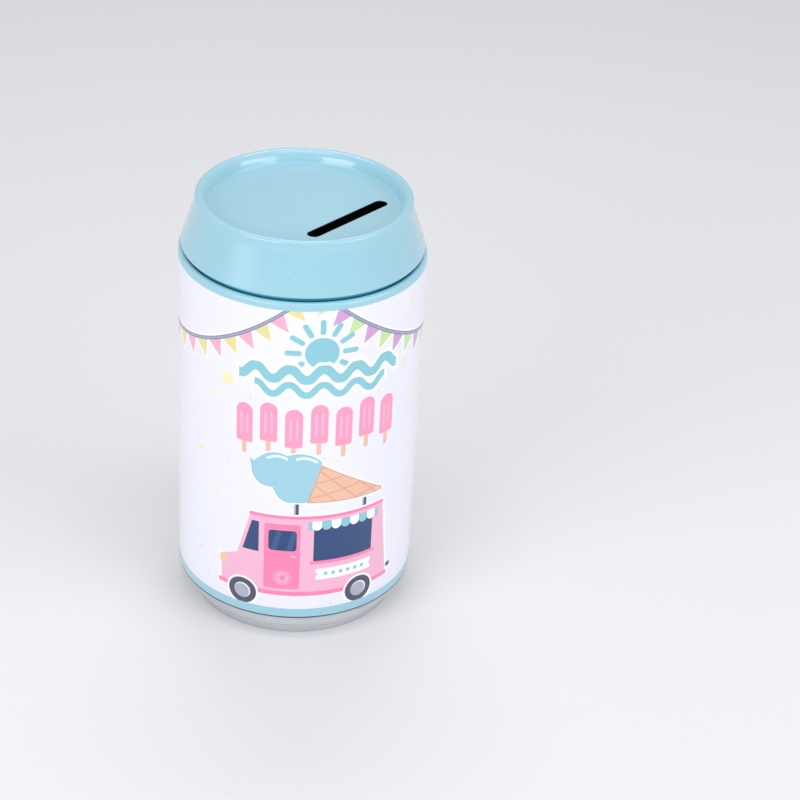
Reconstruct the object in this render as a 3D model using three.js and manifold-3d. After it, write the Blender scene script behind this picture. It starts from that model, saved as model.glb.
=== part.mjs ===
// Drinks-can shaped tin money box, in millimetres, +Z up, standing on z = 0.
// Every piece is formed from thin tinplate. The coin slot runs along X on the -Y side of the lid.
import * as THREE from "three";
import * as BufferGeometryUtils from "three/addons/utils/BufferGeometryUtils.js";
import Module from "manifold-3d";

const wasm = await Module();
wasm.setup();

// Driving dimensions
const SEGMENTS = 64;
const SHEET = 0.25;
const BODY_R = 33.0;
const BODY_BOTTOM = 8.4;
const BODY_TOP = 106.3;
const MOUTH_BEAD_R = 1.05;

const SEAM_AZIMUTH = 132.5;
const SEAM_WIDTH = 4.2;
const SEAM_INNER_R = 32.05;
const SEAM_OUTER_R = 32.85;
const SEAM_BOTTOM = 15.5;
const SEAM_TOP = 103.0;

const BASE_SKIRT_R = 32.5;
const BASE_SKIRT_TOP = 14.5;
const BASE_STEP_R = 32.85;
const BASE_STEP_Z = 8.0;
const FOOT_OUTER_R = 28.0;
const FOOT_INNER_R = 27.2;
const BASE_TAPER = [
  [30.0, 2.6],
  [31.15, 4.4],
  [32.05, 6.1],
  [32.6, 7.4],
];
const BASE_PANEL_R = 25.4;
const BASE_PANEL_Z = 3.6;

const LID_EDGE_R = 32.3;
const LID_BOTTOM = 107.2;
const LID_CURL_R = 0.7;
const RIM_R = 28.9;
const RIM_BOTTOM = 118.4;
const RIM_CREST_R = 0.95;
const LID_TOP = 121.5;
const LID_PANEL_R = 24.6;
const LID_PANEL_Z = 118.1;
const LID_FILLET_R = 0.7;
const RIM_INNER_R = 1.84;
const RIM_SLOPE_R = 5.7;

const SLOT_LENGTH = 29.2;
const SLOT_WIDTH = 3.6;
const SLOT_X = 2.2;
const SLOT_Y = -13.4;

const COLLAR_R = 30.65;
const COLLAR_BOTTOM = 98.0;
const COLLAR_STOP_Z = 106.6;
const COLLAR_STOP_R = 0.7;
const COLLAR_FLANGE_R = 31.45;
const COLLAR_FLANGE_Z = 108.95;

const rad = THREE.MathUtils.degToRad;

// Points [r, z] on an arc about (cr, cz), from one angle to another in degrees.
function arc(cr, cz, radius, from, to, steps) {
  const points = [];
  for (let i = 0; i <= steps; i += 1) {
    const a = rad(from + ((to - from) * i) / steps);
    points.push([cr + radius * Math.cos(a), cz + radius * Math.sin(a)]);
  }
  return points;
}

// The path moved sideways by the sheet's thickness, to the left of its direction of travel.
function offset(path, distance) {
  return path.map((point, i) => {
    const before = path[Math.max(i - 1, 0)];
    const after = path[Math.min(i + 1, path.length - 1)];
    const into = i > 0 ? normal(before, point) : normal(point, after);
    const out = i < path.length - 1 ? normal(point, after) : into;
    const scale = distance / (1 + into[0] * out[0] + into[1] * out[1]);
    return [point[0] + (into[0] + out[0]) * scale, point[1] + (into[1] + out[1]) * scale];
  });
}

function normal(from, to) {
  const dr = to[0] - from[0];
  const dz = to[1] - from[1];
  const length = Math.hypot(dr, dz);
  return [-dz / length, dr / length];
}

// Revolves a sheet with one face on the path and its thickness on the left (side 1) or right (side -1).
// A path that starts on the axis closes there.
function formedSheet(path, side = 1) {
  const other = offset(path, SHEET * side);
  const [going, coming] = side > 0 ? [path, other] : [other, path];
  const profile = [...going, ...coming.slice().reverse()];
  if (path[0][0] > 0) {
    profile.push(profile[0]);
  }
  const points = profile.map(([r, z]) => new THREE.Vector2(Math.max(r, 0), z));
  const geometry = new THREE.LatheGeometry(points, SEGMENTS);
  geometry.rotateX(Math.PI / 2);
  return geometry;
}

function toManifold(geometry) {
  const bare = geometry.clone();
  bare.deleteAttribute("normal");
  bare.deleteAttribute("uv");
  const merged = BufferGeometryUtils.mergeVertices(bare, 1e-4);
  const index = merged.getIndex().array;
  const place = merged.getAttribute("position").array;
  const triVerts = [];
  for (let i = 0; i < index.length; i += 3) {
    const [a, b, c] = [index[i], index[i + 1], index[i + 2]];
    if (a !== b && b !== c && c !== a) {
      triVerts.push(a, b, c);
    }
  }
  return new wasm.Manifold(
    new wasm.Mesh({
      numProp: 3,
      vertProperties: new Float32Array(place),
      triVerts: new Uint32Array(triVerts),
    }),
  );
}

function toGeometry(manifold) {
  const mesh = manifold.getMesh();
  const geometry = new THREE.BufferGeometry();
  geometry.setAttribute("position", new THREE.BufferAttribute(mesh.vertProperties, 3));
  geometry.setIndex(new THREE.BufferAttribute(mesh.triVerts, 1));
  geometry.computeVertexNormals();
  return geometry;
}

function piece(name, geometry, color, metalness, roughness) {
  const material = new THREE.MeshStandardMaterial({ name, color, metalness, roughness });
  const mesh = new THREE.Mesh(geometry, material);
  mesh.name = name;
  return mesh;
}

// The printed tube: plain lower edge, mouth rolled inward, lock seam folded to the inside.
function bodySleeve() {
  const beadCentre = BODY_R - MOUTH_BEAD_R;
  const path = [
    [BODY_R, BODY_BOTTOM],
    ...arc(beadCentre, BODY_TOP - MOUTH_BEAD_R, MOUTH_BEAD_R, 0, 250, 12),
  ];
  const fold = new THREE.BoxGeometry(SEAM_OUTER_R - SEAM_INNER_R, SEAM_WIDTH, SEAM_TOP - SEAM_BOTTOM);
  fold.translate((SEAM_OUTER_R + SEAM_INNER_R) / 2, 0, (SEAM_TOP + SEAM_BOTTOM) / 2);
  fold.rotateZ(rad(SEAM_AZIMUTH));
  return toGeometry(toManifold(formedSheet(path)).add(toManifold(fold)));
}

// The drawn bottom: recessed panel, standing ring, swelling taper, step under the sleeve, hidden skirt.
function baseCup() {
  const path = [
    [0, BASE_PANEL_Z],
    ...arc(BASE_PANEL_R - 0.6, BASE_PANEL_Z - 0.6, 0.6, 90, 12, 3),
    ...arc(FOOT_INNER_R, 1.3, 1.3, 192, 270, 4),
    ...arc(FOOT_OUTER_R, 1.1, 1.1, 270, 328, 3),
    ...BASE_TAPER,
    [BASE_STEP_R, BASE_STEP_Z],
    [BASE_SKIRT_R, BODY_BOTTOM - 0.1],
    [BASE_SKIRT_R, BASE_SKIRT_TOP],
  ];
  return formedSheet(path);
}

// The drawn lid: recessed panel with the coin slot, rolled rim, sloping shoulder, curled lower edge.
function lidShell() {
  const crestR = RIM_R - 0.25 - RIM_CREST_R;
  const crestZ = LID_TOP - RIM_CREST_R;
  const slopeR = crestR + (RIM_SLOPE_R - RIM_INNER_R) * Math.cos(rad(-35));
  const slopeZ = LID_TOP - RIM_INNER_R + (RIM_SLOPE_R - RIM_INNER_R) * Math.sin(rad(-35));
  const path = [
    [0, LID_PANEL_Z],
    ...arc(LID_PANEL_R, LID_PANEL_Z + LID_FILLET_R, LID_FILLET_R, 270, 345, 4),
    ...arc(slopeR, slopeZ, RIM_SLOPE_R, 160, 145, 3),
    ...arc(crestR, LID_TOP - RIM_INNER_R, RIM_INNER_R, 137, 90, 5),
    ...arc(crestR, crestZ, RIM_CREST_R, 76, 6, 5),
    [RIM_R, RIM_BOTTOM],
    [LID_EDGE_R - 0.06, LID_BOTTOM + LID_CURL_R + 0.3],
    ...arc(LID_EDGE_R - LID_CURL_R, LID_BOTTOM + LID_CURL_R, LID_CURL_R, 0, -250, 10),
  ];
  const slot = new THREE.Shape();
  const half = (SLOT_LENGTH - SLOT_WIDTH) / 2;
  slot.absarc(half, 0, SLOT_WIDTH / 2, rad(-90), rad(90), false);
  slot.absarc(-half, 0, SLOT_WIDTH / 2, rad(90), rad(270), false);
  const punch = new THREE.ExtrudeGeometry(slot, { depth: 2, bevelEnabled: false, curveSegments: 10 });
  punch.translate(SLOT_X, SLOT_Y, LID_PANEL_Z - 1);
  return toGeometry(toManifold(formedSheet(path, -1)).subtract(toManifold(punch)));
}

// The plug ring: flange held above the lid's curl, swaged stop that sits on the mouth, tapered end.
function lidCollar() {
  const path = [
    [COLLAR_R - 0.35, COLLAR_BOTTOM],
    [COLLAR_R, COLLAR_BOTTOM + 1.5],
    ...arc(COLLAR_R, COLLAR_STOP_Z, COLLAR_STOP_R, -86, 86, 6),
    ...arc(COLLAR_R + 0.35, COLLAR_FLANGE_Z - SHEET - 0.35, 0.35, 180, 90, 3),
    [COLLAR_FLANGE_R, COLLAR_FLANGE_Z - SHEET],
  ];
  return formedSheet(path);
}

const moneyBox = new THREE.Group();
moneyBox.name = "tin_money_box";
moneyBox.add(
  piece("body_sleeve", bodySleeve(), 0xf0effa, 0.1, 0.3),
  piece("base_cup", baseCup(), 0xc8cacc, 0.9, 0.35),
  piece("lid_shell", lidShell(), 0xa9d9e7, 0.2, 0.3),
  piece("lid_collar", lidCollar(), 0xc8cacc, 0.9, 0.35),
);

export default moneyBox;
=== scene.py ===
"""Drinks-can shaped tin money box: a printed tinplate sleeve on a drawn silver base, and an enamelled
lid with a coin slot, which pulls off with its plug ring. Metres, +Z up, standing on z = 0."""

import math

import bmesh
import bpy
from mathutils import Matrix, Vector


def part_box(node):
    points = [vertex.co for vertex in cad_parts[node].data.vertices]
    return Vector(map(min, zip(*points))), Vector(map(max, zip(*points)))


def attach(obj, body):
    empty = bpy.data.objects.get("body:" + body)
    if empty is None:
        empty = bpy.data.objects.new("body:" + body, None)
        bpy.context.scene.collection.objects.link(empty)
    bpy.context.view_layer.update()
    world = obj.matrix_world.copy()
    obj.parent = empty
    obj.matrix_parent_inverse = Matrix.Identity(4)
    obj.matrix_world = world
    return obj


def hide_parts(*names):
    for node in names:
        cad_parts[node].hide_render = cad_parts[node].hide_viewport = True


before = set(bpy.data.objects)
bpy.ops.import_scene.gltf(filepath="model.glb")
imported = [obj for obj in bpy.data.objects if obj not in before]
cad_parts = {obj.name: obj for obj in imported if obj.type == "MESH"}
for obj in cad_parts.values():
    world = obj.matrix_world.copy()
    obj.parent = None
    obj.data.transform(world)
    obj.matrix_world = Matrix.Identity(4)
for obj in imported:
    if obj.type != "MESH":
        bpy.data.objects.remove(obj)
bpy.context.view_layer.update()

MM = 0.001

# Places and sizes of the four formed sheets, from the frame
sleeve_low, sleeve_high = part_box("body_sleeve")
_, base_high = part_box("base_cup")
lid_low, lid_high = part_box("lid_shell")
collar_low, collar_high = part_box("lid_collar")
BODY_R = sleeve_high[0]
BODY_BOTTOM = sleeve_low[2]
BODY_TOP = sleeve_high[2]
LID_EDGE_R = lid_high[0]
LID_BOTTOM = lid_low[2]
LID_TOP = lid_high[2]
BASE_STEP_R = base_high[0]
BASE_SKIRT_TOP = base_high[2]
COLLAR_BOTTOM = collar_low[2]
COLLAR_TOP = collar_high[2]
COLLAR_FLANGE_R = collar_high[0]

SHEET = 0.25 * MM
TURNS = 256
MOUTH_BEAD_R = 1.05 * MM

FRONT_AZIMUTH = math.radians(-130.2)
SEAM_AZIMUTH = math.radians(132.5)
SEAM_HALF_WIDTH = 2.1 * MM
SEAM_FOLD = 0.5 * MM
SEAM_BOTTOM = 15.5 * MM
SEAM_TOP = 103.0 * MM
SEAM_DIP = 0.14 * MM

FOOT_OUTER_R = 28.0 * MM
FOOT_INNER_R = 27.2 * MM
BASE_SKIRT_R = 32.5 * MM
BASE_PANEL_R = 25.4 * MM
BASE_PANEL_Z = 3.6 * MM
BASE_FILLET_R = 0.6 * MM
FOOT_INNER_BEND_R = 1.3 * MM
FOOT_OUTER_BEND_R = 1.1 * MM
BASE_TAPER = ((30.0, 2.6), (31.15, 4.4), (32.05, 6.1), (32.6, 7.4))

LID_CURL_R = 0.7 * MM
RIM_R = 28.9 * MM
RIM_BOTTOM = LID_TOP - 3.1 * MM
RIM_CREST_R = 0.95 * MM
RIM_INNER_R = 1.84 * MM
RIM_SLOPE_R = 5.7 * MM
RIM_SLOPE_LEAN = 35
LID_PANEL_R = 24.6 * MM
LID_PANEL_Z = LID_TOP - 3.4 * MM
LID_FILLET_R = 0.7 * MM

SLOT_LENGTH = 29.2 * MM
SLOT_WIDTH = 3.6 * MM
SLOT_PLACE = (2.2 * MM, -13.4 * MM)

COLLAR_R = 30.65 * MM
COLLAR_STOP_Z = 106.6 * MM
COLLAR_STOP_R = 0.7 * MM
COLLAR_FILLET_R = 0.35 * MM
COLLAR_LEAD_IN = 1.5 * MM

# Colours, as display values from 0 to 255
GROUND = (237, 237, 246)
SKY_BLUE = (155, 203, 219)
# Deep teal of the plug ring's sprayed band: partly the lid's blue, partly painted shade for the gap
# under the lid
DEEP_TEAL_GAP_SHADE = (20, 140, 168)
TEAL = (136, 198, 211)
ROSE = (247, 155, 191)
BLUSH = (241, 181, 208)
HOT_PINK = (250, 132, 176)
DISC_PINK = (248, 168, 200)
NAVY = (32, 66, 116)
NAVY_GLASS = (52, 84, 140)
SLATE = (74, 73, 98)
HUB_GREY = (170, 172, 190)
CORD_GREY = (158, 165, 196)
CORD_EDGE = (124, 124, 146)
FLAG_ROSE = (247, 172, 202)
BUTTER = (229, 219, 154)
LAMP = (235, 205, 140)
CONFETTI = (240, 235, 186)
WAFER = (236, 188, 163)
WAFER_LINE = (222, 167, 142)
SCOOP_SHADE = (140, 202, 220)
GLEAM = (226, 243, 252)
LILAC = (206, 158, 210)
LEAF = (196, 226, 160)
WHITE = (250, 250, 255)
DUST = (120, 118, 122)
DUST_ON_BLUE = (96, 128, 142)
SMUDGE = (205, 205, 215)
SMUDGE_ON_BLUE = (190, 226, 238)
BRIGHT_TIN = (233, 235, 238)
PLAIN_TIN = (206, 208, 211)
PLAIN_TIN_LINES = (188, 190, 193)
PLAIN_TIN_BANDS = (172, 173, 176)
INSIDE_TIN = (204, 205, 207)
NICK = (74, 74, 78)
# Painted shade for the crevice where the sleeve meets the base
JOIN_SHADE = (58, 60, 66)
FLOOR_LIGHT = (228, 228, 230)
FLOOR_DARK = (224, 224, 227)


def srgb(red, green, blue):
    """A linear colour from 0 to 255 display values."""
    linear = [
        c / 12.92 if c <= 0.04045 else ((c + 0.055) / 1.055) ** 2.4
        for c in (red / 255, green / 255, blue / 255)
    ]
    return (*linear, 1.0)


# Sheet forming


def arc(centre_r, centre_z, radius, start, end, steps):
    """Points (r, z) of a bend, from one angle to another in degrees."""
    angles = [math.radians(start + (end - start) * i / steps) for i in range(steps + 1)]
    return [(centre_r + radius * math.cos(a), centre_z + radius * math.sin(a)) for a in angles]


def spin_sheet(path, shown_left):
    """A sheet's shown face: the path turned about the can's axis, facing the left or right of its
    travel."""
    bm = bmesh.new()
    points = [bm.verts.new((r, 0, z)) for r, z in path]
    edges = [bm.edges.new(pair) for pair in zip(points, points[1:])]
    bmesh.ops.spin(
        bm,
        geom=points + edges,
        cent=(0, 0, 0),
        axis=(0, 0, 1),
        angle=math.tau,
        steps=TURNS,
        use_merge=True,
    )
    bmesh.ops.remove_doubles(bm, verts=bm.verts, dist=1e-6)
    bmesh.ops.recalc_face_normals(bm, faces=bm.faces)
    (r0, z0), (r1, z1) = path[0], path[1]
    shown = Vector((z0 - z1, 0, r1 - r0)) * (1 if shown_left else -1)
    middle = Vector(((r0 + r1) / 2, 0, (z0 + z1) / 2))
    first = min(bm.faces, key=lambda face: (face.calc_center_median() - middle).length)
    if first.normal.dot(shown) < 0:
        bmesh.ops.reverse_faces(bm, faces=bm.faces)
    return bm


def thicken(bm):
    """Gives the shown face its sheet thickness behind it. The back and the cut edges take slot 1."""
    fronts = set(bm.faces)
    bmesh.ops.solidify(bm, geom=bm.faces[:], thickness=SHEET)
    for face in bm.faces:
        face.material_index = 0 if face in fronts else 1


def finish_piece(bm, name, node, body, materials):
    """Writes the sheet to an object that stands for its CAD node and rides with its body."""
    for face in bm.faces:
        face.smooth = True
    for edge in bm.edges:
        edge.smooth = edge.calc_face_angle(0) < math.radians(38)
    mesh = bpy.data.meshes.new(name)
    bm.to_mesh(mesh)
    bm.free()
    for material in materials:
        mesh.materials.append(material)
    piece = bpy.data.objects.new(name, mesh)
    bpy.context.scene.collection.objects.link(piece)
    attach(piece, body)
    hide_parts(node)
    return piece


# Wiring


class Wiring:
    """Adds nodes to one tree, each with its settings and with values or sockets on its inputs."""

    def __init__(self, tree):
        self.tree = tree

    def put(self, socket, value):
        if isinstance(value, bpy.types.NodeSocket):
            self.tree.links.new(value, socket)
        else:
            socket.default_value = value

    def add(self, kind, inputs=None, **settings):
        node = self.tree.nodes.new("ShaderNode" + kind)
        for name, value in settings.items():
            setattr(node, name, value)
        for name, value in (inputs or {}).items():
            self.put(node.inputs[name], value)
        return node

    def math(self, operation, *values, clamp=False):
        node = self.add("Math", dict(enumerate(values)), operation=operation, use_clamp=clamp)
        return node.outputs[0]

    def vector(self, operation, *values):
        node = self.add("VectorMath", operation=operation)
        sockets = [node.inputs[0], node.inputs["Scale"]] if operation == "SCALE" else node.inputs
        for socket, value in zip(sockets, values):
            self.put(socket, value)
        return node.outputs["Value" if operation in ("LENGTH", "DOT_PRODUCT") else "Vector"]

    def split(self, vector):
        return self.add("SeparateXYZ", {0: vector}).outputs

    def join(self, x, y, z=0.0):
        return self.add("CombineXYZ", {0: x, 1: y, 2: z}).outputs[0]

    def mix(self, factor, a, b):
        node = self.add("Mix", data_type="RGBA")
        self.put(node.inputs[0], factor)
        self.put(node.inputs[6], a)
        self.put(node.inputs[7], b)
        return node.outputs[2]

    def noise(self, place, scale, detail=2.0, roughness=0.5):
        inputs = {"Vector": place, "Scale": scale, "Detail": detail, "Roughness": roughness}
        return self.add("TexNoise", inputs).outputs["Fac"]

    def spread(self, value, low, high):
        inputs = {0: value, 1: low, 2: high}
        return self.add("MapRange", inputs, interpolation_type="SMOOTHSTEP").outputs[0]

    def group(self, tree, **inputs):
        node = self.add("Group", node_tree=tree)
        for name, value in inputs.items():
            self.put(node.inputs[name.replace("_", " ")], value)
        return node.outputs


def shader_group(name, inputs, outputs):
    """An empty group with named sockets, and the wiring, inputs and output node to fill it."""
    tree = bpy.data.node_groups.new(name, "ShaderNodeTree")
    for label, kind in inputs.items():
        tree.interface.new_socket(label, in_out="INPUT", socket_type="NodeSocket" + kind)
    for label, kind in outputs.items():
        tree.interface.new_socket(label, in_out="OUTPUT", socket_type="NodeSocket" + kind)
    wires = Wiring(tree)
    given = tree.nodes.new("NodeGroupInput").outputs
    result = tree.nodes.new("NodeGroupOutput").inputs
    return tree, wires, given, result


# Stamps of the print. Places are in millimetres on the unrolled sleeve, and Ink is 1 inside the shape.

EDGE_CRISPNESS = 9.0


def box_stamp():
    """A box with round corners. Inner is its half size less the corner's radius."""
    sockets = dict.fromkeys(("Place", "Centre", "Inner"), "Vector")
    sockets.update(dict.fromkeys(("Corner", "Turn"), "Float"))
    tree, w, given, result = shader_group("print_box", sockets, {"Ink": "Float"})
    moved = w.vector("SUBTRACT", given["Place"], given["Centre"])
    turned = w.add("VectorRotate", {"Vector": moved, "Angle": given["Turn"]}, rotation_type="Z_AXIS")
    past = w.vector("SUBTRACT", w.vector("ABSOLUTE", turned.outputs[0]), given["Inner"])
    away = w.vector("LENGTH", w.vector("MAXIMUM", past, (0, 0, 0)))
    inside = w.math("SUBTRACT", given["Corner"], away)
    w.put(result["Ink"], w.math("MULTIPLY_ADD", inside, EDGE_CRISPNESS, 0.5, clamp=True))
    return tree


def dot_stamp():
    """A disc."""
    sockets = {"Place": "Vector", "Centre": "Vector", "Radius": "Float"}
    tree, w, given, result = shader_group("print_dot", sockets, {"Ink": "Float"})
    away = w.vector("LENGTH", w.vector("SUBTRACT", given["Place"], given["Centre"]))
    inside = w.math("SUBTRACT", given["Radius"], away)
    w.put(result["Ink"], w.math("MULTIPLY_ADD", inside, EDGE_CRISPNESS, 0.5, clamp=True))
    return tree


def side_stamp():
    """All that lies past a straight line, on the side that Towards points to."""
    sockets = {"Place": "Vector", "Point": "Vector", "Towards": "Vector"}
    tree, w, given, result = shader_group("print_side", sockets, {"Ink": "Float"})
    from_line = w.vector("SUBTRACT", given["Place"], given["Point"])
    past = w.vector("DOT_PRODUCT", from_line, given["Towards"])
    w.put(result["Ink"], w.math("MULTIPLY_ADD", past, EDGE_CRISPNESS, 0.5, clamp=True))
    return tree


def row_stamp():
    """Splits a row into equal cells: the place within its cell from the middle, and 0 or 1 by turns."""
    sockets = {"Place": "Vector", "First": "Float", "Pitch": "Float"}
    outputs = {"Place": "Vector", "Turn": "Float"}
    tree, w, given, result = shader_group("print_row", sockets, outputs)
    x, y, _ = w.split(given["Place"])
    cells = w.math("DIVIDE", w.math("SUBTRACT", x, given["First"]), given["Pitch"])
    nearest = w.math("ROUND", cells)
    along = w.math("MULTIPLY", w.math("SUBTRACT", cells, nearest), given["Pitch"])
    w.put(result["Place"], w.join(along, y))
    w.put(result["Turn"], w.math("ABSOLUTE", w.math("MODULO", nearest, 2.0)))
    return tree


GARLAND_LOW_Y = 77.6
GARLAND_SAG = 0.0094
FLAG_PITCH = 5.35
FLAG_WIDTH = 4.95
FLAG_DROP = 5.3
CORD_HALF = 0.52
HALO = 0.5


def garland_stamp():
    """Bunting on a hanging cord, lowest at X = 0 of Place: its cord, the cord's lighter middle, its
    flags, 0 or 1 by turns of the flags, and the white edge round them. Shift moves the flags along by
    parts of their pitch."""
    outputs = {"Cord": "Float", "Middle": "Float", "Flags": "Float", "Turn": "Float", "Halo": "Float"}
    sockets = {"Place": "Vector", "Shift": "Float"}
    tree, w, given, result = shader_group("print_garland", sockets, outputs)
    x, y, _ = w.split(given["Place"])
    square = w.math("MULTIPLY", x, x)
    drop = w.math("SUBTRACT", w.math("MULTIPLY_ADD", square, GARLAND_SAG, GARLAND_LOW_Y), y)
    slope = w.math("MULTIPLY", x, 2 * GARLAND_SAG)
    stretch = w.math("MULTIPLY_ADD", slope, slope, 1.0)
    foot = w.math("SUBTRACT", x, w.math("DIVIDE", w.math("MULTIPLY", drop, slope), stretch))
    depth = w.math("DIVIDE", drop, w.math("SQRT", stretch))
    foot_square = w.math("MULTIPLY", foot, foot)
    lengthened = w.math("MULTIPLY_ADD", foot_square, GARLAND_SAG**2 * 2 / 3, 1.0)
    along = w.math("MULTIPLY", foot, lengthened)
    cells = w.math("MULTIPLY_ADD", along, 1 / FLAG_PITCH, given["Shift"])
    cell = w.math("FLOOR", cells)
    across = w.math("ABSOLUTE", w.math("SUBTRACT", w.math("SUBTRACT", cells, cell), 0.5))
    half = w.math("MULTIPLY_ADD", depth, -FLAG_WIDTH / 2 / FLAG_DROP, FLAG_WIDTH / 2)
    inside = w.math("SUBTRACT", half, w.math("MULTIPLY", across, FLAG_PITCH))
    hung = w.math("MULTIPLY_ADD", depth, EDGE_CRISPNESS, 0.5, clamp=True)
    hung = w.math("MULTIPLY", hung, w.math("GREATER_THAN", cells, w.math("CEIL", given["Shift"])))
    off_cord = w.math("ABSOLUTE", depth)

    def ink(amount):
        return w.math("MULTIPLY_ADD", amount, EDGE_CRISPNESS, 0.5, clamp=True)

    w.put(result["Flags"], w.math("MULTIPLY", ink(inside), hung))
    w.put(result["Cord"], ink(w.math("SUBTRACT", CORD_HALF, off_cord)))
    w.put(result["Middle"], ink(w.math("SUBTRACT", CORD_HALF * 0.5, off_cord)))
    edge = w.math("MULTIPLY", ink(w.math("ADD", inside, HALO)), hung)
    w.put(result["Halo"], w.math("MAXIMUM", edge, ink(w.math("SUBTRACT", CORD_HALF + HALO, off_cord))))
    w.put(result["Turn"], w.math("ABSOLUTE", w.math("MODULO", cell, 2.0)))
    return tree


def wave_stamp():
    """A line that rises and falls, of even width."""
    sizes = dict.fromkeys(("Height", "Swing", "Length", "Half Width"), "Float")
    tree, w, given, result = shader_group("print_wave", {"Place": "Vector", **sizes}, {"Ink": "Float"})
    x, y, _ = w.split(given["Place"])
    rate = w.math("DIVIDE", math.tau, given["Length"])
    phase = w.math("MULTIPLY", x, rate)
    level = w.math("MULTIPLY_ADD", w.math("SINE", phase), given["Swing"], given["Height"])
    slope = w.math("MULTIPLY", w.math("COSINE", phase), w.math("MULTIPLY", rate, given["Swing"]))
    stretch = w.math("SQRT", w.math("MULTIPLY_ADD", slope, slope, 1.0))
    away = w.math("DIVIDE", w.math("ABSOLUTE", w.math("SUBTRACT", y, level)), stretch)
    inside = w.math("SUBTRACT", given["Half Width"], away)
    w.put(result["Ink"], w.math("MULTIPLY_ADD", inside, EDGE_CRISPNESS, 0.5, clamp=True))
    return tree


STAMPS = {
    "box": box_stamp(),
    "dot": dot_stamp(),
    "side": side_stamp(),
    "row": row_stamp(),
    "garland": garland_stamp(),
    "wave": wave_stamp(),
}


class Press:
    """Prints stamps one over another, each in one ink, at a place in millimetres."""

    def __init__(self, wires, place, ground):
        self.w = wires
        self.place = place
        self.colour = ground

    def paint(self, ink, mask):
        colour = ink if isinstance(ink, bpy.types.NodeSocket) else srgb(*ink)
        self.colour = self.w.mix(mask, self.colour, colour)

    def box(self, left, right, low, high, corner=0.1, place=None):
        centre = ((left + right) / 2, (low + high) / 2, 0)
        inner = ((right - left) / 2 - corner, (high - low) / 2 - corner, 0)
        inputs = {"Centre": centre, "Inner": inner, "Corner": corner}
        return self.w.group(STAMPS["box"], Place=place or self.place, **inputs)[0]

    def stroke(self, start, end, width, place=None):
        """A straight line with round ends."""
        run, rise = end[0] - start[0], end[1] - start[1]
        inputs = {
            "Centre": ((start[0] + end[0]) / 2, (start[1] + end[1]) / 2, 0),
            "Inner": (math.hypot(run, rise) / 2, 0, 0),
            "Corner": width / 2,
            "Turn": -math.atan2(rise, run),
        }
        return self.w.group(STAMPS["box"], Place=place or self.place, **inputs)[0]

    def dot(self, x, y, radius, place=None):
        place = place or self.place
        return self.w.group(STAMPS["dot"], Place=place, Centre=(x, y, 0), Radius=radius)[0]

    def side(self, start, end, place=None):
        """All that lies left of the line from start to end."""
        towards = Vector((start[1] - end[1], end[0] - start[0], 0)).normalized()
        point = (*start, 0)
        return self.w.group(STAMPS["side"], Place=place or self.place, Point=point, Towards=towards)[0]

    def all_of(self, *masks):
        result = masks[0]
        for mask in masks[1:]:
            result = self.w.math("MULTIPLY", result, mask)
        return result

    def any_of(self, *masks):
        result = masks[0]
        for mask in masks[1:]:
            result = self.w.math("MAXIMUM", result, mask)
        return result

    def without(self, mask, cut):
        return self.w.math("MULTIPLY", mask, self.w.math("SUBTRACT", 1.0, cut))

    def polygon(self, *corners):
        """A convex shape, its corners going round anticlockwise."""
        ends = corners[1:] + corners[:1]
        return self.all_of(*[self.side(a, b) for a, b in zip(corners, ends)])


# The print, drawn for a middle at X = 0 and repeated round the tin


def unrolled_place():
    """Millimetres round the sleeve from the middle of the nearest picture, and up from the sleeve's
    lower edge."""
    tree, w, _, result = shader_group("unrolled_sleeve", {}, {"Place": "Vector"})
    x, y, z = w.split(w.add("TexCoord").outputs["Object"])
    azimuth = w.math("SUBTRACT", w.math("ARCTAN2", y, x), FRONT_AZIMUTH)
    nearest = w.math("WRAP", azimuth, math.pi / PICTURES, -math.pi / PICTURES)
    along = w.math("MULTIPLY", nearest, BODY_R / MM)
    up = w.math("DIVIDE", w.math("SUBTRACT", z, BODY_BOTTOM), MM)
    w.put(result["Place"], w.join(along, up))
    return tree


PICTURES = 2
PICTURE_WIDTH = math.tau * BODY_R / MM / PICTURES
BAND_WIDTH = 2.75
TOP_BAND_Y = 95.8


def print_confetti(p):
    pieces = (
        (-42.6, 67.0, 3.0, 70),
        (-37.2, 64.8, 0.0, 0),
        (-28.9, 66.2, 1.2, -60),
        (-22.9, 58.6, 0.0, 0),
        (-33.6, 47.0, 2.2, 40),
        (-27.5, 36.0, 0.4, 0),
        (-40.8, 31.5, 1.8, -50),
        (-34.4, 19.5, 0.0, 0),
        (31.4, 91.4, 2.6, 75),
        (28.6, 86.5, 0.6, 60),
        (28.0, 73.6, 2.2, 70),
        (33.0, 63.2, 0.5, 50),
        (37.5, 60.6, 2.4, 80),
        (31.0, 45.0, 0.0, 0),
        (39.5, 40.5, 2.0, 35),
        (34.0, 24.0, 0.8, -40),
        (43.5, 14.0, 0.0, 0),
        (-46.0, 10.5, 1.6, 20),
    )
    for x, y, length, angle in pieces:
        run = math.cos(math.radians(angle)) * length / 2
        rise = math.sin(math.radians(angle)) * length / 2
        p.paint(CONFETTI, p.stroke((x - run, y - rise), (x + run, y + rise), 1.15))
    p.paint(CONFETTI, p.dot(-23.9, 72.2, 1.9))


def print_garlands(p):
    """Bunting hung between the pictures, rose and butter to the left of each picture, lilac and leaf to
    the right."""
    w = p.w
    x, y, _ = w.split(p.place)
    right = w.math("GREATER_THAN", x, 0.0)
    from_low = w.math("SUBTRACT", PICTURE_WIDTH / 2, w.math("ABSOLUTE", x))
    from_low = w.math("SUBTRACT", from_low, right)
    inputs = {"Place": w.join(from_low, y), "Shift": w.math("MULTIPLY", right, 0.5)}
    cord, middle, flags, turn, halo = w.group(STAMPS["garland"], **inputs)
    one = w.mix(right, srgb(*FLAG_ROSE), srgb(*LEAF))
    other = w.mix(right, srgb(*BUTTER), srgb(*LILAC))
    p.paint(WHITE, halo)
    p.paint(w.mix(turn, one, other), flags)
    p.paint(CORD_EDGE, cord)
    p.paint(CORD_GREY, middle)


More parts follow.
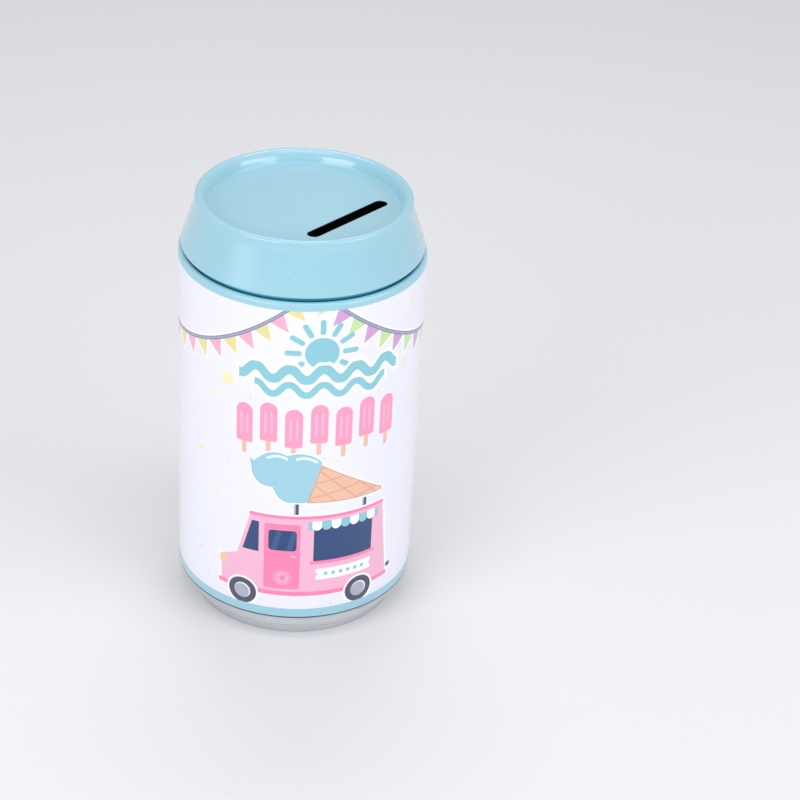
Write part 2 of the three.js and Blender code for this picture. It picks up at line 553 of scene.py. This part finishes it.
SUN_MIDDLE = (1.6, 83.6)
SUN_R = 4.5
RAY_INNER_R = 6.1
RAY_OUTER_R = 9.0
RAYS = 12
WAVE_LENGTH = 8.9


def print_sun_and_sea(p):
    """A sun above two lines of waves, all in one ink."""
    x0, y0 = SUN_MIDDLE
    sun = p.dot(x0, y0, SUN_R)
    for i in range(RAYS):
        c, s = math.cos(math.tau * i / RAYS), math.sin(math.tau * i / RAYS)
        if y0 + RAY_INNER_R * s > y0 - SUN_R:
            inner = (x0 + RAY_INNER_R * c, y0 + RAY_INNER_R * s)
            outer = (x0 + RAY_OUTER_R * c, y0 + RAY_OUTER_R * s)
            sun = p.any_of(sun, p.stroke(inner, outer, 1.5))
    p.paint(TEAL, sun)
    for height, left, right, half_width in ((77.2, -20.4, 24.4, 1.35), (72.6, -16.0, 20.0, 1.0)):
        inputs = {"Height": height, "Swing": 1.5, "Length": WAVE_LENGTH, "Half Width": half_width}
        line = p.w.group(STAMPS["wave"], Place=p.place, **inputs)[0]
        ink = p.all_of(line, p.box(left, right, height - 4, height + 4))
        halo_inputs = {**inputs, "Half Width": half_width + 0.8}
        halo = p.w.group(STAMPS["wave"], Place=p.place, **halo_inputs)[0]
        p.paint(WHITE, p.all_of(halo, p.box(left - 0.8, right + 0.8, height - 4, height + 4)))
        p.paint(TEAL, ink)


LOLLY_FIRST = -18.6
LOLLY_PITCH = 6.7
LOLLIES = 7


def print_lollies(p):
    """A row of ice lollies, every other one a little higher."""
    w = p.w
    local, turn = w.group(STAMPS["row"], Place=p.place, First=LOLLY_FIRST, Pitch=LOLLY_PITCH)
    x, y, _ = w.split(local)
    local = w.join(x, w.math("MULTIPLY_ADD", turn, -1.4, y))
    half = LOLLY_PITCH / 2
    row = p.box(LOLLY_FIRST - half, LOLLY_FIRST + LOLLY_PITCH * (LOLLIES - 0.5), 45, 72)
    p.paint(WAFER, p.all_of(row, p.stroke((0, 52.0), (0, 56.0), 1.3, local)))
    top = p.any_of(p.box(-2.35, 2.35, 55.0, 65.0, 0.6, local), p.dot(0, 64.4, 2.35, local))
    p.paint(ROSE, p.all_of(row, top))
    grooves = p.any_of(
        p.stroke((-0.85, 57.6), (-0.85, 63.6), 0.6, local),
        p.stroke((0.85, 57.6), (0.85, 63.6), 0.6, local),
    )
    p.paint(BLUSH, p.all_of(row, grooves))


def print_cornet(p):
    """A cornet of two scoops lying along the van's roof on two short posts."""
    for x in (-3.9, 15.4):
        p.paint(SLATE, p.box(x - 0.6, x + 0.6, 33.0, 38.4))
        p.paint(HUB_GREY, p.box(x - 0.6, x - 0.2, 33.0, 38.4))

    def scoops(grown):
        tail = p.polygon((-17.0, 50.9), (-16.3, 46.8), (-12.0, 46.0), (-13.0, 51.4))
        tail = p.without(tail, p.dot(-14.9, 51.9, 2.4))
        balls = ((-9.8, 47.8, 5.3), (-11.5, 47.1, 4.7), (-3.4, 45.4, 7.6), (-5.4, 42.3, 4.5))
        return p.any_of(tail, *[p.dot(x, y, radius + grown) for x, y, radius in balls])

    p.paint(WHITE, scoops(HALO))
    p.paint(TEAL, scoops(0.15))
    p.paint(SKY_BLUE, scoops(-0.15))
    p.paint(SCOOP_SHADE, p.stroke((-5.7, 51.3), (-10.1, 43.0), 0.4))
    for x, y, radius, left, low in ((-9.2, 47.6, 4.5, -12.4, 51.0), (-2.4, 46.4, 5.4, -4.4, 50.2)):
        ring = p.without(p.dot(x, y, radius + 0.4), p.dot(x, y, radius - 0.4))
        p.paint(GLEAM, p.all_of(ring, p.box(left, left + 5.9, low, low + 5, 0.4)))

    p.paint(WHITE, p.polygon((-1.2, 37.0), (20.9, 36.3), (22.2, 37.6), (2.6, 50.4)))
    p.paint(WAFER_LINE, p.polygon((-1.2, 37.6), (20.9, 36.9), (21.5, 37.7), (2.4, 49.6)))
    wafer = p.polygon((-0.6, 38.0), (20.6, 37.2), (21.0, 37.6), (2.7, 48.9))
    p.paint(WAFER, wafer)
    for angle, first in ((-44.0, 3.0), (11.5, 1.65)):
        run, rise = math.cos(math.radians(angle)), math.sin(math.radians(angle))
        turned = p.w.join(
            p.w.vector("DOT_PRODUCT", p.place, (-rise, run, 0)),
            p.w.vector("DOT_PRODUCT", p.place, (run, rise, 0)),
        )
        stripe = p.w.group(STAMPS["row"], Place=turned, First=first, Pitch=4.1)[0]
        line = p.box(-0.22, 0.22, -80.0, 80.0, 0.1, stripe)
        p.paint(WAFER_LINE, p.all_of(wafer, line))


AWNING_PITCH = 2.68


def print_van(p):
    """A small van with a serving hatch, seen from its side, driving left."""
    cab_front = ((-20.4, 18.6), (-16.4, 33.2))
    rear = p.side((24.4, 8.0), (21.9, 33.4))
    cab = p.all_of(p.box(-22.0, 24.8, 17.0, 32.8, 0.3), p.side(cab_front[1], cab_front[0]), rear)
    lower = p.all_of(p.box(-25.4, 24.8, 7.4, 19.4, 0.6), p.side((-18.0, 19.8), (-25.6, 16.6)), rear)
    edge = p.any_of(p.box(-26.1, 25.6, 6.9, 17.3, 0.6), p.box(-17.1, 25.2, 16.0, 33.9, 0.6))
    p.paint(WHITE, p.all_of(edge, p.side((25.1, 8.0), (22.7, 33.4))))
    p.paint(BLUSH, p.any_of(cab, lower))
    p.paint(HOT_PINK, p.box(-16.8, 22.3, 32.4, 33.4, 0.3))
    p.paint(HOT_PINK, p.box(-26.3, 24.9, 7.1, 8.5, 0.3))
    p.paint(SLATE, p.box(24.6, 26.3, 9.4, 10.8, 0.4))

    windscreen = p.all_of(p.box(-19.6, -14.0, 20.8, 30.6, 0.3), p.side((-15.9, 31.0), (-18.7, 20.8)))
    p.paint(NAVY, windscreen)
    p.paint(HOT_PINK, p.box(-12.5, -2.6, 9.4, 30.6, 0.7))
    window = p.box(-11.3, -3.6, 22.0, 28.6, 1.0)
    p.paint(NAVY, window)
    for start, end in (((-10.2, 21.0), (-8.0, 29.5)), ((-6.0, 21.0), (-3.8, 29.5))):
        gleam = p.all_of(window, p.stroke(start, end, 1.5))
        p.paint(NAVY_GLASS, gleam)
    p.paint(BLUSH, p.stroke((-4.9, 20.2), (-3.7, 20.2), 0.5))
    p.paint(DISC_PINK, p.dot(-7.3, 13.1, 2.4))
    p.paint(HOT_PINK, p.without(p.dot(-7.3, 13.1, 2.1), p.dot(-7.3, 13.1, 1.85)))
    p.paint(HOT_PINK, p.dot(-7.3, 13.1, 0.8))

    p.paint(BLUSH, p.box(0.6, 18.8, 18.2, 30.0, 0.2))
    p.paint(NAVY, p.box(1.0, 18.4, 18.6, 30.0, 0.2))
    p.paint(HOT_PINK, p.box(0.1, 19.4, 17.6, 18.6, 0.3))

    local, turn = p.w.group(STAMPS["row"], Place=p.place, First=1.8, Pitch=AWNING_PITCH)
    cloth = p.any_of(
        p.box(-AWNING_PITCH, AWNING_PITCH, 29.9, 31.6, 0.1, local),
        p.dot(0, 30.0, AWNING_PITCH / 2, local),
    )
    stripes = p.w.mix(turn, srgb(*WHITE), srgb(*TEAL))
    p.paint(stripes, p.all_of(cloth, p.box(0.46, 19.2, 28.0, 32.0)))
    p.paint(TEAL, p.any_of(p.box(-0.6, 0.5, 28.9, 31.6), p.box(19.2, 20.3, 28.9, 31.6)))

    banner = p.box(1.8, 18.2, 12.4, 16.0)
    for x, way in ((1.2, 1), (18.8, -1)):
        notch = p.polygon(*((x, 13.2), (x + way * 1.4, 14.2), (x, 15.2))[::way])
        banner = p.without(banner, notch)
    p.paint(WHITE, banner)
    dots = p.w.group(STAMPS["row"], Place=p.place, First=4.6, Pitch=2.16)[0]
    p.paint(TEAL, p.all_of(p.dot(0, 14.2, 0.6, dots), p.box(3.4, 16.6, 12.8, 15.6)))

    p.paint(LAMP, p.box(-25.9, -23.9, 13.8, 16.6, 0.6))
    for x in (-18.6, 14.6):
        p.paint(WHITE, p.dot(x, 6.7, 4.75))
        p.paint(SLATE, p.dot(x, 6.7, 4.15))
        hub = p.dot(x, 6.7, 2.4)
        p.paint(WHITE, hub)
        p.paint(HUB_GREY, p.all_of(hub, p.dot(x - 0.15, 6.5, 2.25)))


def print_bands(p):
    """The lid's blue carried round the sleeve's two edges."""
    p.paint(SKY_BLUE, p.side((0, BAND_WIDTH), (-1, BAND_WIDTH)))
    p.paint(SKY_BLUE, p.side((0, TOP_BAND_Y), (1, TOP_BAND_Y)))


# Surface effects shared by the finishes. Their places are in metres.


def sheet_grain():
    """Marks of drawing and rolling, all running round the can: fine lines, broad bands, dull scuffs and
    short dark nicks. Each runs from 0 to 1."""
    outputs = {"Lines": "Float", "Bands": "Float", "Scuffs": "Float", "Nicks": "Float"}
    tree, w, given, result = shader_group("sheet_grain", {"Pitch": "Float"}, outputs)
    place = w.add("TexCoord").outputs["Object"]
    x, y, z = w.split(place)
    rise = w.math("ADD", z, w.vector("LENGTH", w.join(x, y)))

    def round_the_can(around, across):
        x_far, y_far = w.math("MULTIPLY", x, around), w.math("MULTIPLY", y, around)
        return w.join(x_far, y_far, w.math("MULTIPLY", rise, across))

    fine = w.math("DIVIDE", 1.0, given["Pitch"])
    w.put(result["Lines"], w.noise(round_the_can(45.0, fine), 1.0, 4.0, 0.6))
    w.put(result["Bands"], w.spread(w.noise(round_the_can(16.0, 900.0), 1.0, 2.0, 0.5), 0.3, 0.7))
    w.put(result["Scuffs"], w.spread(w.noise(round_the_can(110.0, 900.0), 1.0, 5.0, 0.7), 0.56, 0.7))
    w.put(result["Nicks"], w.spread(w.noise(round_the_can(700.0, 3000.0), 1.0, 2.0, 0.6), 0.63, 0.7))
    return tree


def handling():
    """What a glossy coat picks up: soft waviness, smudges, specks of dust and small crescent dents."""
    outputs = {"Waviness": "Float", "Smudges": "Float", "Specks": "Float", "Dents": "Float"}
    tree, w, given, result = shader_group("handling", {"Place": "Vector"}, outputs)
    w.put(result["Waviness"], w.noise(given["Place"], 420.0, 1.0, 0.4))
    w.put(result["Smudges"], w.spread(w.noise(given["Place"], 38.0, 2.0, 0.5), 0.3, 0.8))
    grains = w.add("TexVoronoi", {"Vector": given["Place"], "Scale": 300.0})
    small = w.math("SUBTRACT", 0.075, grains.outputs["Distance"])
    chosen = w.math("GREATER_THAN", w.split(grains.outputs["Color"])[0], 0.8)
    w.put(result["Specks"], w.math("MULTIPLY", w.math("MULTIPLY", small, 40.0, clamp=True), chosen))
    knocks = w.add("TexVoronoi", {"Vector": given["Place"], "Scale": 110.0})
    ring = w.math("ABSOLUTE", w.math("SUBTRACT", knocks.outputs["Distance"], 0.11))
    line = w.math("MULTIPLY_ADD", ring, -70.0, 1.0, clamp=True)
    offset = w.vector("SUBTRACT", given["Place"], knocks.outputs["Position"])
    heading = w.vector("SUBTRACT", knocks.outputs["Color"], (0.5, 0.5, 0.5))
    facing = w.vector("DOT_PRODUCT", offset, heading)
    one_side = w.math("GREATER_THAN", facing, 0.0002)
    hit = w.math("GREATER_THAN", w.split(knocks.outputs["Color"])[1], 0.72)
    w.put(result["Dents"], w.math("MULTIPLY", w.math("MULTIPLY", line, one_side), hit))
    return tree


EFFECTS = {"grain": sheet_grain(), "handling": handling(), "unrolled": unrolled_place()}


def new_finish(name):
    """A material with its wiring and its Principled shader's inputs."""
    material = bpy.data.materials.new(name)
    material.use_nodes = True
    material.node_tree.nodes.clear()
    w = Wiring(material.node_tree)
    shader = w.add("BsdfPrincipled")
    output = w.add("OutputMaterial")
    w.put(output.inputs["Surface"], shader.outputs[0])
    return material, w, shader.inputs


GRAIN_PITCH = 0.22 * MM
GRAIN_DEPTH = 0.02 * MM
WAVE_HEIGHT = 0.03 * MM
# Height of the painted shade line just under the sleeve's lower edge
JOIN_SHADE_Z = BODY_BOTTOM - 0.25 * MM


def bare_tinplate(name, tone, dullness, line_depth, wear_and_join_shade):
    """Bright tin-coated steel: circular grain and bands, a little cloudiness, darker scuffs and nicks,
    and a dark line of painted shade where the sleeve meets the base."""
    material, w, shader = new_finish(name)
    lines, bands, scuffs, nicks = w.group(EFFECTS["grain"], Pitch=GRAIN_PITCH)
    place = w.add("TexCoord").outputs["Object"]
    cloud = w.noise(place, 35.0, 3.0)
    lit = w.mix(w.spread(lines, 0.3, 0.7), srgb(*[c - 14 for c in tone]), srgb(*tone))
    lit = w.mix(w.math("MULTIPLY", bands, 0.4), lit, srgb(*[c - 34 for c in tone]))
    lit = w.mix(w.math("MULTIPLY", scuffs, 0.5 * wear_and_join_shade), lit, srgb(*[c * 0.6 for c in tone]))
    worn = w.math("MULTIPLY", nicks, w.spread(cloud, 0.45, 0.6))
    lit = w.mix(w.math("MULTIPLY", worn, 0.75 * wear_and_join_shade), lit, srgb(*NICK))
    # A dark line of painted shade at the join under the sleeve's edge, and not dirt
    from_join = w.math("ABSOLUTE", w.math("SUBTRACT", w.split(place)[2], JOIN_SHADE_Z))
    join_shade = w.math("MULTIPLY_ADD", from_join, -2.6 / MM, 1.0, clamp=True)
    lit = w.mix(w.math("MULTIPLY", join_shade, wear_and_join_shade), lit, srgb(*JOIN_SHADE))
    w.put(shader["Base Color"], lit)
    shader["Metallic"].default_value = 1.0
    rough = w.math("MULTIPLY_ADD", lines, 0.14, dullness)
    rough = w.math("MULTIPLY_ADD", scuffs, 0.14, rough)
    w.put(shader["Roughness"], w.math("MULTIPLY_ADD", cloud, 0.06, rough))
    bump = w.add("Bump", {"Strength": line_depth, "Distance": GRAIN_DEPTH, "Height": lines})
    w.put(shader["Normal"], bump.outputs[0])
    return material


def coat_details(w, shader, place, roughness, wave_depth):
    """Roughness and normals of a glossy coat. Returns its smudges and specks for the colour."""
    waviness, smudges, specks, dents = w.group(EFFECTS["handling"], Place=place)
    rough = w.math("MULTIPLY_ADD", smudges, 0.05, roughness)
    w.put(shader["Roughness"], w.math("MULTIPLY_ADD", specks, 0.3, rough))
    height = w.math("MULTIPLY_ADD", dents, -5.0, waviness)
    bump = w.add("Bump", {"Strength": wave_depth, "Distance": WAVE_HEIGHT, "Height": height})
    w.put(shader["Normal"], bump.outputs[0])
    return smudges, specks


def printed_tinplate():
    """The sleeve's picture under clear varnish."""
    material, w, shader = new_finish("printed_sleeve")
    place = w.group(EFFECTS["unrolled"])[0]
    metres = w.vector("SCALE", place, MM)
    smudges, specks = coat_details(w, shader, metres, 0.3, 0.05)
    tint = w.noise(metres, 22.0, 3.0)
    ground = w.mix(tint, srgb(*GROUND), srgb(*[c - 4 for c in GROUND[:2]], GROUND[2]))
    press = Press(w, place, ground)
    print_confetti(press)
    print_garlands(press)
    print_sun_and_sea(press)
    print_lollies(press)
    print_cornet(press)
    print_van(press)
    print_bands(press)
    aged = w.mix(w.math("MULTIPLY", smudges, 0.02), press.colour, srgb(*SMUDGE))
    w.put(shader["Base Color"], w.mix(w.math("MULTIPLY", specks, 0.5), aged, srgb(*DUST)))
    shader["Metallic"].default_value = 0.0
    shader["Specular IOR Level"].default_value = 0.25
    shader["Coat Weight"].default_value = 0.6
    shader["Coat Roughness"].default_value = 0.09
    return material


def blue_enamel():
    """The lid's baked enamel: pale blue, glossy, a touch deeper where it pooled."""
    material, w, shader = new_finish("lid_enamel")
    place = w.add("TexCoord").outputs["Object"]
    smudges, specks = coat_details(w, shader, place, 0.29, 0.1)
    pooled = w.noise(place, 48.0, 3.0)
    blue = w.mix(pooled, srgb(*SKY_BLUE), srgb(*[c - 6 for c in SKY_BLUE]))
    blue = w.mix(w.math("MULTIPLY", smudges, 0.06), blue, srgb(*SMUDGE_ON_BLUE))
    dusty = w.mix(w.math("MULTIPLY", specks, 0.45), blue, srgb(*DUST_ON_BLUE))
    w.put(shader["Base Color"], dusty)
    shader["Metallic"].default_value = 0.0
    shader["Specular IOR Level"].default_value = 0.3
    shader["Coat Weight"].default_value = 0.9
    shader["Coat Roughness"].default_value = 0.11
    return material


def oversprayed_ring_with_gap_shade():
    """The plug ring's tinplate, with the lid's enamel sprayed over the part just below its flange, in a
    deep teal that is painted shade for the gap under the lid.
    """
    material, w, shader = new_finish("ring_tinplate")
    lines, bands, scuffs, _ = w.group(EFFECTS["grain"], Pitch=GRAIN_PITCH)
    place = w.add("TexCoord").outputs["Object"]
    mist = w.math("MULTIPLY_ADD", w.noise(place, 700.0, 3.0, 0.6), 1.6 * MM, w.split(place)[2])
    spray_and_gap_shade = w.spread(mist, COLLAR_STOP_Z - 1.6 * MM, COLLAR_STOP_Z + 0.2 * MM)
    tin = w.mix(w.spread(lines, 0.25, 0.75), srgb(*PLAIN_TIN_LINES), srgb(*PLAIN_TIN))
    tin = w.mix(w.math("MULTIPLY", bands, 0.3), tin, srgb(*PLAIN_TIN_BANDS))
    # The sprayed band is darker than the lid's blue: painted shade where it shows through the gap
    w.put(shader["Base Color"], w.mix(spray_and_gap_shade, tin, srgb(*DEEP_TEAL_GAP_SHADE)))
    w.put(shader["Metallic"], w.math("MULTIPLY_ADD", spray_and_gap_shade, -0.75, 1.0))
    rough = w.math("MULTIPLY_ADD", lines, 0.16, 0.27)
    w.put(shader["Roughness"], w.math("MULTIPLY_ADD", scuffs, 0.14, rough))
    bump = w.add("Bump", {"Strength": 0.25, "Distance": GRAIN_DEPTH, "Height": lines})
    w.put(shader["Normal"], bump.outputs[0])
    return material


PRINTED = printed_tinplate()
ENAMEL = blue_enamel()
RING_TIN = oversprayed_ring_with_gap_shade()
BASE_TIN = bare_tinplate("base_tinplate", BRIGHT_TIN, 0.22, 0.5, 1.0)
INNER_TIN = bare_tinplate("inner_tinplate", INSIDE_TIN, 0.3, 0.25, 0.5)


# The four formed sheets

SEAM_OUTWARD = Vector((math.cos(SEAM_AZIMUTH), math.sin(SEAM_AZIMUTH), 0))
SEAM_SIDEWAYS = Vector((-math.sin(SEAM_AZIMUTH), math.cos(SEAM_AZIMUTH), 0))
SEAM_DIPS = ((-0.45, 0.0), (-0.12, 1.0), (0.25, 0.6), (1.6, 0.35), (3.4, 0.0))


def near_seam(place, half_width):
    return place.dot(SEAM_OUTWARD) > 0 and abs(place.dot(SEAM_SIDEWAYS)) < half_width


def press_seam(bm):
    """The lock seam's line outside: a sharp dip on one side that rises slowly on the other, gone at the
    mouth."""
    cuts = [t for t, _ in SEAM_DIPS] + [-SEAM_HALF_WIDTH / MM, SEAM_HALF_WIDTH / MM]
    for cut in cuts:
        faces = [f for f in bm.faces if near_seam(f.calc_center_median(), 6 * MM)]
        parts = {part for face in faces for part in (face, *face.edges, *face.verts)}
        bmesh.ops.bisect_plane(
            bm, geom=list(parts), dist=1e-7, plane_co=SEAM_SIDEWAYS * cut * MM, plane_no=SEAM_SIDEWAYS
        )
    for vert in bm.verts:
        if near_seam(vert.co, SEAM_DIPS[-1][0] * MM):
            across = vert.co.dot(SEAM_SIDEWAYS) / MM
            fade = min(1.0, max(0.0, (BODY_TOP - MOUTH_BEAD_R - vert.co.z) / (2 * MM)))
            vert.co -= SEAM_OUTWARD * SEAM_DIP * fade * between(across, SEAM_DIPS)


def between(x, points):
    """Straight-line value at x between points in order of x, and 0 outside them."""
    for (x0, y0), (x1, y1) in zip(points, points[1:]):
        if x0 <= x <= x1:
            return y0 + (y1 - y0) * (x - x0) / (x1 - x0)
    return 0.0


def fold_seam(bm):
    """The lock seam's folded layers, standing proud on the inside."""
    inner = [
        f
        for f in bm.faces
        if f.material_index == 1
        and near_seam(f.calc_center_median(), SEAM_HALF_WIDTH)
        and SEAM_BOTTOM < f.calc_center_median().z < SEAM_TOP
    ]
    raised = bmesh.ops.extrude_face_region(bm, geom=inner)["geom"]
    verts = [v for v in raised if isinstance(v, bmesh.types.BMVert)]
    bmesh.ops.translate(bm, verts=verts, vec=-SEAM_OUTWARD * SEAM_FOLD)
    bmesh.ops.delete(bm, geom=inner, context="FACES_ONLY")


def make_sleeve():
    bead_r, bead_z = BODY_R - MOUTH_BEAD_R, BODY_TOP - MOUTH_BEAD_R
    rows = (BODY_BOTTOM + 0.3 * MM, SEAM_BOTTOM, 60 * MM, SEAM_TOP)
    path = [
        (BODY_R - 0.08 * MM, BODY_BOTTOM),
        *[(BODY_R, z) for z in rows],
        *arc(bead_r, bead_z, MOUTH_BEAD_R, 0, 250, 20),
    ]
    bm = spin_sheet(path, shown_left=False)
    press_seam(bm)
    thicken(bm)
    fold_seam(bm)
    return finish_piece(
        bm, "printed_sleeve", "body_sleeve", "can", [PRINTED, INNER_TIN]
    )


def make_base():
    fillet = BASE_FILLET_R
    path = [
        (0, BASE_PANEL_Z),
        (BASE_PANEL_R - 2 * fillet, BASE_PANEL_Z),
        *arc(BASE_PANEL_R - fillet, BASE_PANEL_Z - fillet, fillet, 90, 12, 6),
        *arc(FOOT_INNER_R, FOOT_INNER_BEND_R, FOOT_INNER_BEND_R, 192, 270, 8),
        *arc(FOOT_OUTER_R, FOOT_OUTER_BEND_R, FOOT_OUTER_BEND_R, 270, 328, 6),
        *[(r * MM, z * MM) for r, z in BASE_TAPER],
        (BASE_STEP_R, BODY_BOTTOM - 0.4 * MM),
        (BASE_SKIRT_R, BODY_BOTTOM - 0.1 * MM),
        (BASE_SKIRT_R, BASE_SKIRT_TOP),
    ]
    bm = spin_sheet(path, shown_left=False)
    thicken(bm)
    return finish_piece(bm, "drawn_base", "base_cup", "can", [BASE_TIN, INNER_TIN])


def cut_slot(bm):
    """Closes the lid's panel with a flat sheet that leaves the coin slot open."""
    rim = [e for e in bm.edges if e.is_boundary and abs(e.verts[0].co.z - LID_PANEL_Z) < 1e-7]
    radius = SLOT_WIDTH / 2
    straight = SLOT_LENGTH / 2 - radius
    x0, y0 = SLOT_PLACE
    ends = arc(x0 + straight, y0, radius, -90, 90, 20) + arc(x0 - straight, y0, radius, 90, 270, 20)
    corners = [bm.verts.new((x, y, LID_PANEL_Z)) for x, y in ends]
    slot = [bm.edges.new(pair) for pair in zip(corners, corners[1:] + corners[:1])]
    filled = bmesh.ops.triangle_fill(bm, edges=rim + slot, use_beauty=True, normal=(0, 0, 1))
    panel = [part for part in filled["geom"] if isinstance(part, bmesh.types.BMFace)]
    for face in panel:
        if face.normal.z < 0:
            face.normal_flip()


def soften_slot(bm):
    """The punch leaves the slot's upper edge slightly rounded."""
    x0, y0 = SLOT_PLACE
    half = (SLOT_LENGTH / 2 + 1e-5, SLOT_WIDTH / 2 + 1e-5)
    edge = [
        e
        for e in bm.edges
        if e.calc_face_angle(0) > 1.0
        and all(abs(v.co.z - LID_PANEL_Z) < 1e-6 for v in e.verts)
        and all(abs(v.co.x - x0) < half[0] and abs(v.co.y - y0) < half[1] for v in e.verts)
    ]
    bmesh.ops.bevel(
        bm, geom=edge, offset=0.08 * MM, segments=3, profile=0.5, affect="EDGES", material=-1
    )


def make_lid():
    crest_r = RIM_R - 0.25 * MM - RIM_CREST_R
    away, lean = RIM_SLOPE_R - RIM_INNER_R, math.radians(RIM_SLOPE_LEAN)
    slope_r = crest_r + away * math.cos(lean)
    slope_z = LID_TOP - RIM_INNER_R - away * math.sin(lean)
    curl_r, curl_z = LID_EDGE_R - LID_CURL_R, LID_BOTTOM + LID_CURL_R
    path = [
        (LID_PANEL_R - 0.9 * MM, LID_PANEL_Z),
        *arc(LID_PANEL_R, LID_PANEL_Z + LID_FILLET_R, LID_FILLET_R, 270, 345, 8),
        *arc(slope_r, slope_z, RIM_SLOPE_R, 160, 146, 6),
        *arc(crest_r, LID_TOP - RIM_INNER_R, RIM_INNER_R, 143, 90, 12),
        *arc(crest_r, LID_TOP - RIM_CREST_R, RIM_CREST_R, 82, 6, 10),
        (RIM_R - 0.03 * MM, RIM_BOTTOM + 0.35 * MM),
        (RIM_R + 0.06 * MM, RIM_BOTTOM - 0.35 * MM),
        (LID_EDGE_R - 0.06 * MM, curl_z + 0.3 * MM),
        *arc(curl_r, curl_z, LID_CURL_R, 0, -250, 20),
    ]
    bm = spin_sheet(path, shown_left=True)
    cut_slot(bm)
    thicken(bm)
    soften_slot(bm)
    return finish_piece(bm, "enamelled_lid", "lid_shell", "lid", [ENAMEL, INNER_TIN])


def make_collar():
    fillet = COLLAR_FILLET_R
    under_flange = COLLAR_TOP - SHEET
    path = [
        (COLLAR_R - fillet, COLLAR_BOTTOM),
        (COLLAR_R, COLLAR_BOTTOM + COLLAR_LEAD_IN),
        *arc(COLLAR_R, COLLAR_STOP_Z, COLLAR_STOP_R, -86, 86, 12),
        *arc(COLLAR_R + fillet, under_flange - fillet, fillet, 180, 90, 6),
        (COLLAR_FLANGE_R, under_flange),
    ]
    bm = spin_sheet(path, shown_left=False)
    thicken(bm)
    return finish_piece(bm, "plug_ring", "lid_collar", "lid", [RING_TIN, INNER_TIN])


PIECES = [make_sleeve(), make_base(), make_lid(), make_collar()]


# Floor, light and camera


def make_floor():
    """A large pale floor. Its tone shifts a little, as matt card does."""
    bm = bmesh.new()
    bmesh.ops.create_grid(bm, x_segments=1, y_segments=1, size=4.0)
    mesh = bpy.data.meshes.new("floor")
    bm.to_mesh(mesh)
    bm.free()
    material, w, shader = new_finish("pale_card")
    tone = w.noise(w.add("TexCoord").outputs["Object"], 3.0, 4.0)
    w.put(shader["Base Color"], w.mix(tone, srgb(*FLOOR_LIGHT), srgb(*FLOOR_DARK)))
    shader["Roughness"].default_value = 0.75
    mesh.materials.append(material)
    floor = bpy.data.objects.new("floor", mesh)
    bpy.context.scene.collection.objects.link(floor)


VIEW_AZIMUTH = -137.5
VIEW_ELEVATION = 31.8
VIEW_DISTANCE = 18.13 * BODY_R
VIEW_HEIGHT = BODY_BOTTOM + 1.3 * BODY_R
VIEW_YAW = 3.15
VIEW_PITCH = -0.68
VIEW_ROLL = 3.3
VIEW_LENS = 96.84


def softbox(name, azimuth, elevation, distance, size, watts):
    """A rectangular lamp that faces the middle of the tin, placed by degrees round it and above it. The
    camera sees its light but not the lamp."""
    data = bpy.data.lights.new(name, "AREA")
    data.shape = "RECTANGLE"
    data.size, data.size_y = size
    data.energy = watts
    lamp = bpy.data.objects.new(name, data)
    a, e = math.radians(azimuth), math.radians(elevation)
    way = Vector((math.cos(a) * math.cos(e), math.sin(a) * math.cos(e), math.sin(e)))
    lamp.location = Vector((0, 0, LID_TOP / 2)) + way * distance
    lamp.rotation_euler = way.to_track_quat("Z", "Y").to_euler()
    lamp.visible_camera = False
    bpy.context.scene.collection.objects.link(lamp)
    return lamp


def light_scene():
    """A softbox on each side of the view, one overhead and one behind. A low card and its brighter
    middle give the lid's shoulder a soft patch, and both light the tin alone."""
    softbox("left_softbox", VIEW_AZIMUTH - 40, 24, 0.75, (0.49, 0.28), 1.95)
    softbox("right_softbox", VIEW_AZIMUTH + 58, 24, 0.75, (0.6, 0.28), 1.95)
    softbox("overhead", VIEW_AZIMUTH, 76, 0.8, (0.5, 0.14), 1.15)
    softbox("back_softbox", VIEW_AZIMUTH + 180, 60, 0.9, (0.5, 0.14), 1.4)
    low_card = softbox("low_card", VIEW_AZIMUTH - 55, 2, 0.75, (0.4, 0.24), 0.2)
    card_middle = softbox("card_middle", VIEW_AZIMUTH - 56, 1, 0.74, (0.2, 0.18), 0.09)
    tin_only = bpy.data.collections.new("lit_by_low_card")
    for piece in PIECES:
        tin_only.objects.link(piece)
    for lamp in (low_card, card_middle):
        lamp.light_linking.receiver_collection = tin_only
    world = bpy.data.worlds.new("studio")
    world.use_nodes = True
    background = world.node_tree.nodes["Background"]
    background.inputs["Color"].default_value = (0.965, 0.98, 1.0, 1)
    background.inputs["Strength"].default_value = 0.6
    bpy.context.scene.world = world


def make_camera():
    """Stands at the view's azimuth and elevation, aimed a little right of the tin and rolled
    slightly."""
    data = bpy.data.cameras.new("camera")
    data.lens = VIEW_LENS
    data.sensor_width = 36
    data.clip_start, data.clip_end = 0.05, 20
    camera = bpy.data.objects.new("camera", data)
    a, e = math.radians(VIEW_AZIMUTH), math.radians(VIEW_ELEVATION)
    back = Vector((math.cos(a) * math.cos(e), math.sin(a) * math.cos(e), math.sin(e)))
    place = Vector((0, 0, VIEW_HEIGHT)) + back * VIEW_DISTANCE
    turn = Matrix.Rotation(a + math.pi / 2 - math.radians(VIEW_YAW), 4, "Z")
    tilt = Matrix.Rotation(math.pi / 2 - e - math.radians(VIEW_PITCH), 4, "X")
    roll = Matrix.Rotation(math.radians(VIEW_ROLL), 4, "Z")
    camera.matrix_world = Matrix.Translation(place) @ turn @ tilt @ roll
    bpy.context.scene.collection.objects.link(camera)
    bpy.context.scene.camera = camera


make_floor()
light_scene()
make_camera()
bpy.context.scene.view_settings.view_transform = "Standard"
